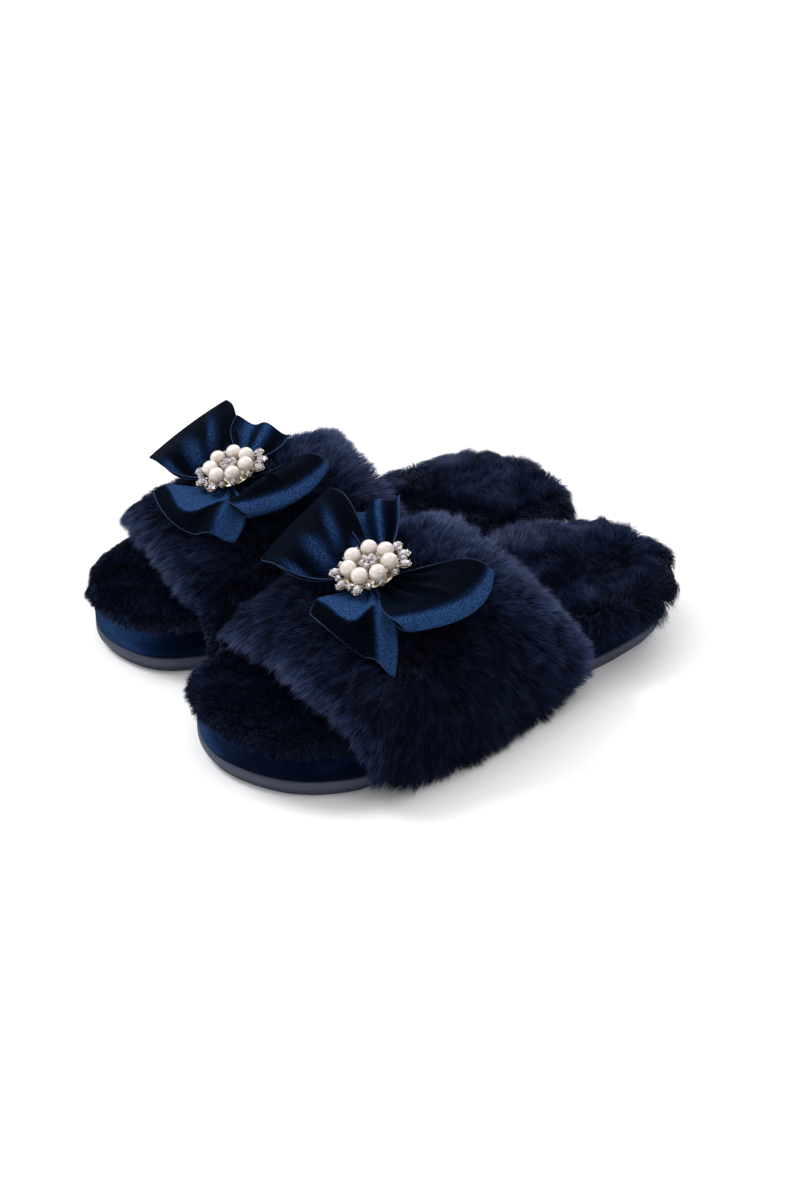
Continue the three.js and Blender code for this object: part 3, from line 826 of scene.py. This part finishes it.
def platform_cover(side):
    """The velvet wall: drawn in at the bottom, rolled over at the top, slightly puckered."""
    base = LIP_TOP + 0.3
    outer = [
        (-1.0, 0.0, 0.0), (-0.35, 0.05, 0.3), (-0.15, 0.18, 0.8), (0.0, 0.45, 1.0),
        (-0.05, 0.75, 1.0), (-0.3, 0.93, 0.7), (-0.9, 1.0, 0.3),
    ]
    inner = [(-1.6, 0.97, 0.0), (-1.6, 0.03, 0.0)]
    rings = []
    for offset, share, pucker in outer + inner:
        ring = sole_ring(offset, mix(base, PLATFORM_TOP + 0.2, share))
        swell = wave_noise(ring * [1, 1, 0.35], 17, 3) * 0.28 * pucker
        ring[:, :2] += OUTWARD * (swell - 0.1)[:, None]
        rings.append(ring)
    rings.append(rings[0])
    vertices, faces = stack(rings, closed=False)
    piece = mirrored_piece(
        side, "velvet_wall", (vertices, faces), PLATFORM_VELVET,
        "platform_cover")
    x, y, _ = vertices.T
    # Painted sheen on the wall: faint patches all round it and a bright patch at the toe end.
    toe_end = hump(x, -18, 26) * smooth(-y, 90, 118)
    painted_sheen = 0.12 + 0.3 * wave_noise(vertices * [1, 1, 2], 22, 8) + 0.9 * toe_end
    set_values(piece.data, "painted_sheen", painted_sheen)


# ---- the bow

def bow_frame(side):
    """The bow's origin in the slipper's frame, on top of the fur, and its tilt with the band."""
    u = np.array((BOW_Y[side] - BAND_CREST_Y[0]) / (BAND_CREST_Y[1] - BAND_CREST_Y[0]))
    v = np.array(0.5)
    normal = band_normal(u, v)
    point = band_skin(u, v, FUR_BASE + pile_depth(u, v, side) + BOW_LIFT)
    return np.array([BOW_OUTWARD, point[1], point[2]]), math.atan2(-normal[1], normal[2])


BOW_FRAMES = {side: bow_frame(side) for side in PREFIX}


def bow_to_row(points, side, heading=0.0):
    """From a lobe's frame (+X outwards from the knot, +Z off the band) to the row frame."""
    points = turned(np.array(points, dtype=float), math.radians(heading))
    origin, tilt = BOW_FRAMES[side]
    c, s = math.cos(tilt), math.sin(tilt)
    x, y, z = points[..., 0], points[..., 1], points[..., 2]
    tilted = xyz(x, y * c - z * s, y * s + z * c)
    placed = tilted + origin * [side, 1, 1]
    return to_row(placed, side, mirrored=False)


def tube_along(path, radius):
    """A thin six-sided tube through the points of a path."""
    along = unit(np.gradient(path, axis=0))
    up = unit(np.cross(along, [0.2, 0.4, 1.0]))
    other = np.cross(along, up)
    angles = np.arange(6) * 2 * math.pi / 6
    rings = [
        p + (np.outer(np.cos(angles), a) + np.outer(np.sin(angles), b)) * radius
        for p, a, b in zip(path, up, other)
    ]
    return stack(rings)


def ribbon(side, node, heading, surface, painted_sheen, flat, area):
    """A lobe of the bow: a surface(s, t), s outwards from the knot and t across, from -1 to 1,
    with half a thickness on each face and a woven edge round it."""
    half_thickness, edge_radius = 0.35, 0.3
    s, t = np.meshgrid(np.linspace(0, 1, 72), np.linspace(-1, 1, 48), indexing="ij")
    points = surface(s, t)
    normal = unit(np.cross(np.gradient(points, axis=0), np.gradient(points, axis=1)))
    lift = normal * half_thickness
    name, body = node.replace("bow_", "velvet_"), node + "_flap"
    vertices, faces = thick_grid(points + lift, points - lift)
    mesh = plain_mesh(bow_to_row(vertices, side, heading), faces)
    # The velvet's painted sheen at each vertex, the same on both faces.
    set_values(mesh, "painted_sheen", np.stack([painted_sheen(s, t, points)] * 2))
    piece = new_piece(side, name, mesh, BOW_VELVET, [node], body)
    edges = points[:, 0], points[:, -1], points[-1]
    vertices, faces = joined([tube_along(edge, edge_radius) for edge in edges])
    trim = plain_mesh(bow_to_row(vertices, side, heading), faces)
    edge = new_piece(side, name + "_edge", trim, SELVEDGE, body=body)


def patch(points, r, y, length, width, angle=0.0):
    """A soft-edged oval on a lobe, 1 in its middle, with its long side at an angle."""
    near = turned(points - [r, y, 0], -math.radians(angle))
    return np.exp(-(((near[..., 0] / length) ** 2 + (near[..., 1] / width) ** 2) ** 1.5))


def pleats(out, t, phase):
    """Fine gathers that fade out away from the knot."""
    fade = (1 - smooth(out, 0.05, 0.60)) * smooth(out, -0.05, 0.08)
    return fade * np.cos((t * 4 + phase) * math.pi)


def loop_surface(end, half_width, flares, shift, lift, gap, fold, relief):
    """A loop: out along the top, round a fold and back underneath.

    end gives how far out the fold lies across the ribbon, flares say how quickly the gathers
    open on the two sides, and fold is how open the far end is: 0 for a crease, 1 for round."""

    def surface(s, t):
        turn = (s - 0.5) * 2 * math.pi
        out = (1 + np.cos(turn)) / 2
        upper = smooth(-turn, -0.5, 0.5)
        share = out**0.8
        r = mix(LOBE_START, end(t), share)
        widen = 1 - (1 - np.minimum(share / 0.85, 1)) ** mix(*flares, (t + 1) / 2)
        y = t * mix(4.5, half_width, widen) * mix(0.88, 1.0, upper) + shift * widen * share
        opening = 0.7 + gap * np.sin(math.pi * out * mix(0.96, 0.5, fold)) ** 0.8
        z = 2.7 + lift * smooth(out, 0.0, 0.7) - np.sin(turn) * opening / 2
        z = z + 1.3 * pleats(out, t, 0.3 * np.sign(turn)) + relief(out, t) * mix(0.3, 1.0, upper)
        return xyz(r, y, z)

    return surface


def right_loop_relief(out, t):
    """A soft bulge by the brooch, a long slanting fold and a raised rear corner."""
    along = smooth(out, 0.05, 0.35) * (1 - smooth(out, 0.75, 1.0))
    bulge = 3.4 * hump(out, 0.38, 0.28) * hump(t, 0.40, 0.42)
    crest = mix(0.10, -0.66, out)
    fold = (2.6 * hump(t, crest, 0.13) - 1.6 * hump(t, crest - 0.26, 0.15)) * along
    return bulge + fold + (1.6 * (1 - t * t) - 2.0 * t) * smooth(out, 0.4, 1.0)


def right_loop_painted_sheen(s, t, points):
    """Painted sheen: bright on the bulge, along the fold, by the knot and at the front edge."""
    bright = patch(points, 28, 9, 15, 5.5, -10) + patch(points, 36, -5, 16, 3.2, -25)
    bright += patch(points, 21, -9, 6, 4) + patch(points, 26, 23, 14, 3.0, 5)
    return 0.8 * bright * (s < 0.5) + 0.4 * (s > 0.5)


def left_loop_relief(swell):
    """Two narrow pleats out of the knot on a dished face, with a swelling next to the brooch."""

    def relief(out, t):
        long_pleat = 1.5 * hump(t, 0.05, 0.07) * (1 - smooth(out, 0.45, 0.85))
        short_pleat = 1.3 * hump(t, -0.36, 0.08) * (1 - smooth(out, 0.25, 0.60))
        dish = 1.8 * (t - 0.1) ** 2 * smooth(out, 0.2, 0.8)
        puff = swell * hump(out, 0.50, 0.17) * hump(t, -0.1, 0.8)
        return long_pleat + short_pleat + dish + puff - 1.2 * smooth(out, 0.8, 1.0)

    return relief


def front_tail_brow(t):
    """How far out along the front tail its face starts to fall."""
    return 0.66 + 0.16 * hump(t, -0.1, 0.45) - 0.36 * smooth(t, 0.1, 0.6)


def front_tail_painted_sheen(s, t, points):
    """Painted sheen: bright on top and down the side beside the left loop, and dark on the fallen
    face.
    """
    fallen = smooth(s - front_tail_brow(t), -0.06, 0.03)
    return 1 - fallen * (1 - smooth(t, 0.25 + 0.3 * s, 0.45 + 0.3 * s))


def left_loop_painted_sheen(s, t, points):
    """Painted sheen: black faces, and a bright band round the fold, narrower towards the rear."""
    far = abs(s - 0.5) * 2
    return 1 - smooth(far, 0.22 - 0.08 * t, 0.36 - 0.10 * t)


def front_tail(end, half_width, shift, drop):
    """The front end: it swells out of the knot, then its slanted cut edge falls in a V."""

    def surface(s, t):
        r = mix(LOBE_START, end(t), s)
        widen = 1 - (1 - np.minimum(s / 0.85, 1)) ** 2
        y = t * mix(3.5, half_width, widen) + shift * widen * s
        swell = 6.0 * smooth(s, 0.08, 0.68)
        starts = front_tail_brow(t)
        fall = drop * smooth(t, -1.3, 1.0) * np.clip((s - starts) / (1.0 - starts), 0, 1)
        ridge = 3.4 * hump(t, 0.60, 0.20) * smooth(s, 0.3, 0.75)
        far_side = 3.5 * smooth(t, 0.66, 1.0) * smooth(s, 0.2, 0.7)
        z = 3.2 + swell - fall + ridge - far_side + 1.2 * pleats(s, t, 0.4)
        return xyz(r, y, z)

    return surface


def rear_tail(end, half_width, shift, outer_lift, inner_lift):
    """The rear end of the ribbon: it stands up behind the loops, with two creases."""

    def surface(s, t):
        r = mix(LOBE_START, end(t), s)
        y = t * mix(3.5, half_width, smooth(s, 0.0, 0.8)) + shift * smooth(s, 0.1, 1.0)
        creases = 2.0 * smooth(s, 0.1, 0.5) * np.cos(t * 5.2 + 0.7)
        lift = mix(outer_lift, inner_lift, (t + 1) / 2) * smooth(s, 0.1, 1.0)
        return xyz(r, y, 2.9 + lift + creases + pleats(s, t, 0.2))

    return surface


def rear_tail_painted_sheen(s, t, points):
    """Painted sheen: two bright strips between dark creases."""
    return hump(t, 0.55, 0.32) + hump(t, -0.22, 0.20) + 0.8 * hump(t, -1, 0.12)


def knot(side):
    """The wrap round the middle, gathered into soft ridges."""
    half_length, half_width, half_height, middle_z = 5.3, 5.4, 2.6, 4.1
    count = 40
    angles = np.arange(count) * 2 * math.pi / count
    c, s = np.cos(angles), np.sin(angles)
    rings = []
    for share in np.linspace(-1, 1, 15):
        squash = 1 - abs(share) ** 3 * 0.25
        ridge = 1 + 0.05 * math.cos(share * 9)
        x = half_length * np.sign(c) * np.abs(c) ** 0.6 * squash * ridge
        z = middle_z + half_height * np.sign(s) * np.abs(s) ** 0.6 * squash * ridge
        rings.append(xyz(x, -share * half_width, z))
    vertices, faces = stack(rings)
    mesh = plain_mesh(bow_to_row(vertices, side), faces)
    set_values(mesh, "painted_sheen", np.zeros(len(vertices)))
    new_piece(side, "ribbon_knot", mesh, BOW_VELVET, ["bow_knot"])


RIGHT_LOOP = loop_surface(
    lambda t: 58 - 5.5 * t, 26, (1.4, 3.2), 1.5, 5.0, 6, 0.15, right_loop_relief)
LEFT_LOOPS = {
    LEFT: loop_surface(
        lambda t: 58 + 6 * t - 11 * t * t, 24, (1.7, 1.7), -0.5, 2.5, 8, 1.0, left_loop_relief(0)),
    RIGHT: loop_surface(
        lambda t: 50 + 2 * t - 8 * t * t, 25, (1.9, 1.9), 6.0, 4.0, 8.5, 1.0, left_loop_relief(5)),
}
FRONT_TAILS = {
    LEFT: front_tail(lambda t: 43 + 9.5 * t - 2 * t * t, 21, 2, 15),
    RIGHT: front_tail(lambda t: 43 + 9 * t - 11 * t * t, 29, -5, 8),
}
REAR_TAILS = {
    LEFT: rear_tail(lambda t: 44.5 - 2.5 * t, 12.5, 6.5, 10, 4),
    RIGHT: rear_tail(lambda t: 42 + 2 * t - t * t, 15, 1, -0.5, 7),
}


def lobes(side):
    """Each lobe's heading from the knot, its shape and its painted sheen, the width and length of
    its flat cut in metres, and the cut's area, less its slanted ends."""
    return (
        ("bow_right_loop", 180, RIGHT_LOOP, right_loop_painted_sheen, (0.050, 0.106), 0.0053),
        ("bow_left_loop", 12, LEFT_LOOPS[side], left_loop_painted_sheen, (0.048, 0.098), 0.0046),
        ("bow_front_tail", -56, FRONT_TAILS[side], front_tail_painted_sheen, (0.048, 0.046), 0.0018),
        ("bow_rear_tail", 131, REAR_TAILS[side], rear_tail_painted_sheen, (0.026, 0.044), 0.0011),
    )


# ---- the brooch

def around(count, start, distance, height):
    """Evenly spaced places round the brooch's middle: each one's angle and centre."""
    for k in range(count):
        angle = 2 * math.pi * k / count + start
        yield angle, np.array([distance * math.cos(angle), distance * math.sin(angle), height])


def pearls(side):
    """Beads with a drilled dimple on their axis, each tilted a little differently."""
    steps = np.linspace(0.09, math.pi - 0.09, 22)
    dimple = (0.25, PEARL_RADIUS - 0.25)
    profile = [dimple]
    profile += [(PEARL_RADIUS * math.sin(a), PEARL_RADIUS * math.cos(a)) for a in steps]
    profile += [(dimple[0], -dimple[1])]
    bead, faces = stack(lathe(profile[::-1], 36))
    x, y, z = bead.T
    height = PLATE_TOP + 0.3 + PEARL_RADIUS
    for k, (angle, centre) in enumerate(around(PEARLS, math.pi / 2, PEARL_RING, height)):
        lean = math.radians(70 + 6 * math.sin(k * 2.4))
        c, s = math.cos(lean), math.sin(lean)
        leaning = xyz(x * c + z * s, y, -x * s + z * c)
        mesh = plain_mesh(bow_to_row(turned(leaning, angle) + centre, side), faces)
        new_piece(side, f"bead_{k + 1}", mesh, PEARL, [f"pearl_{k + 1}"])


def cut_stone(length, width, height, point=1.0):
    """A faceted stone: pavilion, girdle, crown facets and a table. point < 1 sharpens its ends."""
    sides = 8
    angles = (np.arange(sides * 2) + 0.5) * math.pi / sides
    c, s = np.cos(angles), np.sin(angles)
    rings = []
    for share, level in ((0.25, 0), (0.96, 0.45), (1.0, 0.52), (0.80, 0.80), (0.50, 1)):
        x = length / 2 * share * np.sign(c) * np.abs(c) ** (1 / point)
        y = width / 2 * share * s
        rings.append(xyz(x, y, level * height))
    return stack(rings)


def cup(radius_x, radius_y, height, prongs):
    """A metal cup with a rim and small rounded prongs that hold a stone."""
    wall = [(0.7, -0.7), (0.95, -0.5), (1.04, 0.35), (1.04, 0.45), (0.93, 0.45), (0.85, 0.1)]
    parts = [stack([ring * [radius_x, radius_y, height] for ring in lathe(wall, 20)])]
    tip, faces = stack(lathe([(0.6, -1.2), (1, -0.4), (1, 0.5), (0.6, 0.95)], 8))
    for k in range(prongs):
        angle = 2 * math.pi * (k + 0.5) / prongs
        at = [radius_x * 1.02 * math.cos(angle), radius_y * 1.02 * math.sin(angle), height * 0.75]
        parts.append((tip * [0.32, 0.32, 0.55] + at, faces))
    return joined(parts)


def outer_stones():
    """Every outer stone: its angle, distance, length, width, and number if it is a large one."""
    large = [41, 66, 92, 232, 268, 301]
    small = [18, 54, 79, 116, 142, 168, 194, 214, 250, 285, 319, 343]
    further_out = (54, 79, 250, 285)
    stones = [(a, 16.4, 5.6, 4.3, i + 1) for i, a in enumerate(large)]
    return stones + [(a, 15.6 if a in further_out else 14.2, 2.8, 2.8, 0) for a in small]


def setting_plate():
    """The round plate under the stones, with a rolled rim."""
    profile = [
        (0.5, -0.9), (12.6, -0.9), (13.0, -0.7), (13.1, -0.35), (12.7, -0.1), (11.5, 0.05),
        (0.5, 0.05),
    ]
    vertices, faces = stack(lathe(profile, 48))
    return vertices + [0, 0, PLATE_TOP], faces


def setting_arm(distance, turn):
    """A thin arm from the plate out to an outer stone's cup."""
    start = 11
    vertices, faces = stack(lathe([(0.5, 0), (0.7, 0.3), (0.7, 0.7), (0.5, 1.0)], 8))
    x, y, z = vertices.T
    lying = xyz(z * (distance - start) + start, y, x + PLATE_TOP - 0.3)
    return turned(lying, turn), [tuple(reversed(f)) for f in faces]


def centre_stones():
    """Seven small stones on stems, one in the middle and higher: the stones and their setting."""
    places = [place for _, place in around(6, 0, 3.1, 3.7)] + [np.array([0, 0, 4.6])]
    stone, stone_faces = cut_stone(3.1, 3.1, 2.2)
    holder, holder_faces = cup(1.6, 1.6, 1.3, CUP_PRONGS)
    stones, setting = [], []
    for place in places:
        foot = [place[0], place[1], PLATE_TOP]
        stem, stem_faces = stack(lathe([(0.9, -0.1), (0.7, 1.0), (1.0, place[2])], 10))
        stones.append((stone + place + [0, 0, PLATE_TOP], stone_faces))
        setting.append((holder + place + [0, 0, PLATE_TOP + 0.2], holder_faces))
        setting.append((stem + foot, stem_faces))
    return stones, setting


def brooch(side):
    """The metal setting in one piece, and its stones: six large ones, the rest in two groups."""
    stone_height, cup_height, gap = 2.6, 1.5, 0.15
    seat, seat_faces = cup(2.7, 2.7, 1.3, 0)
    seats = around(PEARLS, math.pi / 2, PEARL_RING, PLATE_TOP + 0.55)
    setting = [setting_plate()] + [(seat + centre, seat_faces) for _, centre in seats]
    small = []
    for angle, distance, length, width, number in outer_stones():
        turn = math.radians(angle)
        stone, faces = cut_stone(length, width, stone_height, point=0.8 if number else 1.0)
        stone = turned(stone + [distance, 0, PLATE_TOP + 0.9], turn)
        holder, holder_faces = cup(length / 2 + gap, width / 2 + gap, cup_height, CUP_PRONGS)
        holder = turned(holder + [distance, 0, PLATE_TOP + 0.95], turn)
        setting += [(holder, holder_faces), setting_arm(distance, turn)]
        if number:
            mesh = plain_mesh(bow_to_row(stone, side), faces, flat=True)
            new_piece(
                side, f"stone_{number}", mesh, CRYSTAL, [f"outer_crystal_{number}"])
        else:
            small.append((stone, faces))
    cluster, stems = centre_stones()
    for name, parts, material, slot, nodes in (
        ("brooch_setting", setting + stems, METAL, "brooch_metal", ["brooch_plate"]),
        ("small_stones", small, CRYSTAL, "crystal", []),
        ("centre_cluster", cluster, CRYSTAL, "crystal", ["centre_crystal"]),
    ):
        vertices, faces = joined(parts)
        mesh = plain_mesh(bow_to_row(vertices, side), faces, flat=material == CRYSTAL)
        new_piece(side, name, mesh, material, nodes)


# ---- the pair

def slipper(side, seed):
    for make in (outsole, platform_cover, footbed_cushion, band_lining, band_backing):
        make(side)
    toe_end, middle, heel_end = -130, 0, 138
    footbed_strands(side, "toe_plush", toe_end, middle, seed + 1)
    footbed_strands(side, "heel_plush", middle, heel_end, seed + 2)
    cuts = np.linspace(FUR_FRONT, FUR_REAR, 4)
    for i, part in enumerate(("front", "middle", "rear")):
        band_strands(side, "fur_" + part, cuts[i], cuts[i + 1], seed + 10 + i)
    for lobe in lobes(side):
        ribbon(side, *lobe)
    for make in (knot, pearls, brooch):
        make(side)
    for node, material in HIDDEN.items():
        hidden_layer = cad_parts[PREFIX[side] + node].data
        hidden_layer.materials.clear()
        hidden_layer.materials.append(material)


slipper(LEFT, 100)
slipper(RIGHT, 200)


# ---- floor, light, camera

def floor():
    half_size, height = 4.0, -0.0002
    signs = ((-1, -1), (1, -1), (1, 1), (-1, 1))
    corners = [(x * half_size, y * half_size, height) for x, y in signs]
    mesh = plain_mesh(corners, [(0, 1, 2, 3)])
    mesh.materials.append(floor_material())
    in_scene("floor", mesh)


def point_at(thing, direction):
    thing.rotation_mode = "QUATERNION"
    thing.rotation_quaternion = direction.to_track_quat("-Z", "Y")


def lamp(name, kind, power, direction):
    data = bpy.data.lights.new(name, kind)
    data.energy = power
    made = in_scene(name, data)
    point_at(made, direction)
    return made


def soft_light(name, place, aim, size, power):
    made = lamp(name, "AREA", power, Vector(aim) - Vector(place))
    made.location = place
    made.data.shape = "DISK"
    made.data.size = size


def far_softbox(name, origin, strength, spread):
    """A large even lamp, far away, that shines from a direction."""
    made = lamp(name, "SUN", strength, -Vector(origin))
    made.data.angle = math.radians(spread)


def bright_ceiling():
    """A white room that is bright overhead and dimmer towards the horizon."""
    world = bpy.data.worlds.new("studio")
    world.use_nodes = True
    tree = world.node_tree
    place = tree.nodes.new("ShaderNodeTexCoord")
    parts = tree.nodes.new("ShaderNodeSeparateXYZ")
    tree.links.new(place.outputs["Generated"], parts.inputs["Vector"])
    stops = [(0.0, (0.25, 0.25, 0.26)), (0.4, (0.6, 0.6, 0.61)), (1.0, (1.0, 1.0, 1.0))]
    background = tree.nodes["Background"]
    tree.links.new(ramp(tree, parts.outputs["Z"], stops), background.inputs["Color"])
    set_inputs(background, Strength=1.2)
    bpy.context.scene.world = world


def studio():
    bright_ceiling()
    far_softbox("key", (-0.75, -0.45, 0.9), 0.6, 60)
    far_softbox("back", (-0.7, 1.0, 0.75), 1.2, 50)
    aim = (0.0, -0.05, 0.07)
    soft_light("key_box", (-0.45, -0.50, 0.85), aim, 0.35, 4.5)
    soft_light("sparkle", (0.75, 0.25, 0.65), aim, 0.12, 0.5)
    bpy.context.scene.view_settings.view_transform = "Standard"
    bpy.context.scene.view_settings.look = "None"


def camera():
    azimuth, elevation, distance = math.radians(57.8), math.radians(30.6), 0.8809
    target = Vector((0.0214, -0.0066, 0.030))
    back = Vector((
        math.sin(azimuth) * math.cos(elevation),
        -math.cos(azimuth) * math.cos(elevation),
        math.sin(elevation),
    ))
    data = bpy.data.cameras.new("camera")
    data.lens = 53.4
    data.sensor_width = 36
    made = in_scene("camera", data)
    made.location = target + back * distance
    point_at(made, -back)
    bpy.context.scene.camera = made


floor()
studio()
camera()
